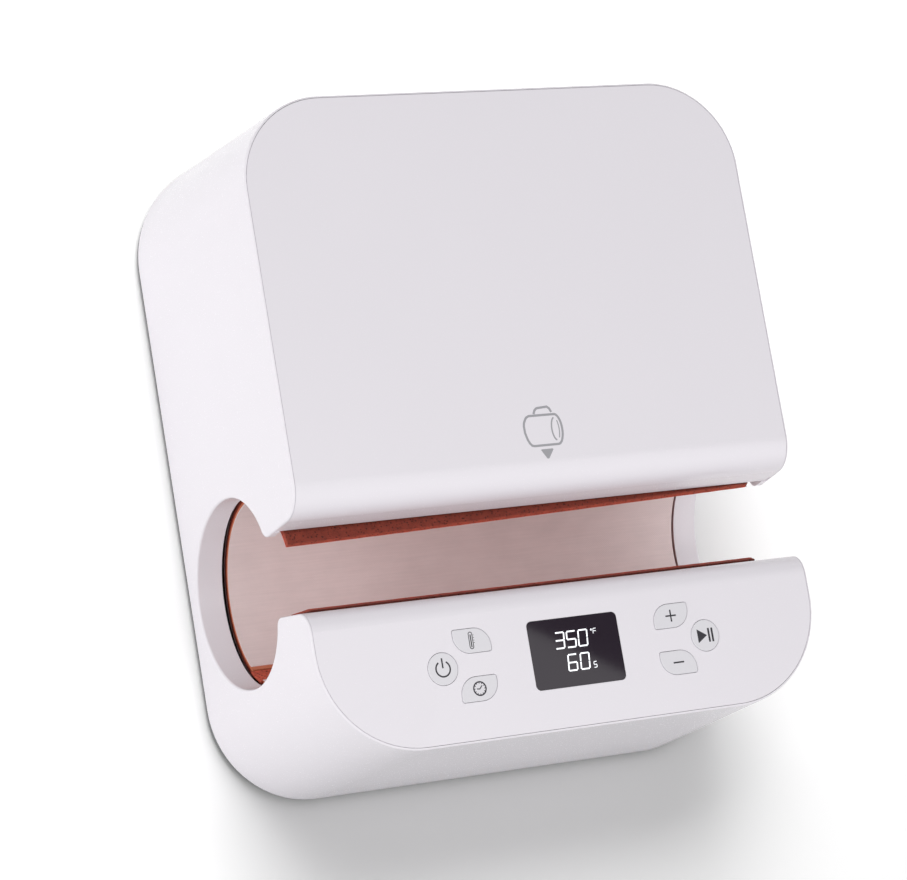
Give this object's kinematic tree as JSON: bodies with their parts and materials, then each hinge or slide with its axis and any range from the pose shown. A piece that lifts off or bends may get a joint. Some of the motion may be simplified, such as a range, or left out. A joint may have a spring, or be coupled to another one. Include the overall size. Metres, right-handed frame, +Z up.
{
  "type": "automatic mug heat press",
  "caption": "Automatic heat press with a horizontal heated bay for mugs and tumblers, a handle slot, a display and touch keys, and a motor-driven jaw that closes the lining.",
  "frame": {"origin": "on the surface it rests on, below the middle of the casing", "axes": "+X along the bay to the right seen from the front, +Y from the control panel to the hood, +Z up"},
  "size_m": [0.3042, 0.3486, 0.1403],
  "materials": {
    "casing_white": "gloss white moulding",
    "key_white": "gloss white key caps with printed icons",
    "base_grey": "fine textured dark moulding",
    "foot_rubber": "matt black",
    "screw_zinc": "zinc plated",
    "smoked_window": "black gloss acrylic",
    "dark_plastic": "black moulded",
    "board_green": "glass fibre board",
    "sponge_red": "porous red silicone sponge",
    "mat_orange": "silicone heater mat",
    "cover_cloth": "coated glass cloth",
    "sheet_steel": "plated sheet",
    "cast_alloy": "cast or machined",
    "bright_steel": "ground or plated steel",
    "brass": "machined",
    "transformer_core": "varnished laminations",
    "spacer_nylon": "natural nylon",
    "ribbon_grey": "flat grey cable"
  },
  "bodies": {
    "housing": {"main_shell": "casing_white", "hood_panel": "casing_white", "control_panel": "casing_white", "base_plate": "base_grey", "rubber_feet": "foot_rubber", "base_screws": "screw_zinc", "support_screws": "screw_zinc", "display_window": "smoked_window", "display_module": "dark_plastic", "key_switches": "dark_plastic", "beeper": "dark_plastic", "limit_switch": "dark_plastic", "relay": "dark_plastic", "mains_inlet": "dark_plastic", "capacitors": "dark_plastic", "control_board": "board_green", "supply_board": "board_green", "front_sponge": "sponge_red", "front_heater_mat": "mat_orange", "front_cover_cloth": "cover_cloth", "front_jaw": "sheet_steel", "heat_shield": "sheet_steel", "jaw_supports": "sheet_steel", "drive_bracket": "cast_alloy", "heat_sink": "cast_alloy", "guide_rods": "bright_steel", "bearing_outer_race": "bright_steel", "gearbox": "bright_steel", "drive_motor": "bright_steel", "inlet_pins": "brass", "transformer": "transformer_core", "board_spacers": "spacer_nylon", "ribbon_cable": "ribbon_grey"},
    "moving_jaw": {"rear_jaw": "sheet_steel", "rear_sponge": "sponge_red", "rear_heater_mat": "mat_orange", "rear_cover_cloth": "cover_cloth", "thermal_cutout": "dark_plastic", "jaw_carriage": "cast_alloy", "guide_bushings": "brass", "drive_nut": "brass", "nut_screws": "screw_zinc"},
    "drive_screw": {"lead_screw": "bright_steel", "shaft_coupling": "cast_alloy", "motor_shaft": "bright_steel", "bearing_inner_race": "bright_steel"},
    "power_button": {"power_key": "key_white"},
    "temperature_button": {"temperature_key": "key_white"},
    "timer_button": {"timer_key": "key_white"},
    "plus_button": {"plus_key": "key_white"},
    "minus_button": {"minus_key": "key_white"},
    "start_button": {"start_key": "key_white"}
  },
  "joints": [
    {"name": "jaw_slide", "type": "slide", "parent": "housing", "child": "moving_jaw", "axis": [0, -1, 0], "range_m": [0, 0.008]},
    {"name": "screw_spin", "type": "hinge", "parent": "housing", "child": "drive_screw", "pos_m": [0, 0.05, 0.0628], "axis": [0, 1, 0], "range_deg": [0, 720]},
    {"name": "power_press", "type": "slide", "parent": "housing", "child": "power_button", "axis": [0, 0, -1], "range_m": [0, 0.0005], "stiffness_N_per_m": 800},
    {"name": "temperature_press", "type": "slide", "parent": "housing", "child": "temperature_button", "axis": [0, 0, -1], "range_m": [0, 0.0005], "stiffness_N_per_m": 800},
    {"name": "timer_press", "type": "slide", "parent": "housing", "child": "timer_button", "axis": [0, 0, -1], "range_m": [0, 0.0005], "stiffness_N_per_m": 800},
    {"name": "plus_press", "type": "slide", "parent": "housing", "child": "plus_button", "axis": [0, 0, -1], "range_m": [0, 0.0005], "stiffness_N_per_m": 800},
    {"name": "minus_press", "type": "slide", "parent": "housing", "child": "minus_button", "axis": [0, 0, -1], "range_m": [0, 0.0005], "stiffness_N_per_m": 800},
    {"name": "start_press", "type": "slide", "parent": "housing", "child": "start_button", "axis": [0, 0, -1], "range_m": [0, 0.0005], "stiffness_N_per_m": 800}
  ],
  "couplings": [
    {"joint": "screw_spin", "follows": "jaw_slide", "rad_per_m": 1570.8}
  ]
}
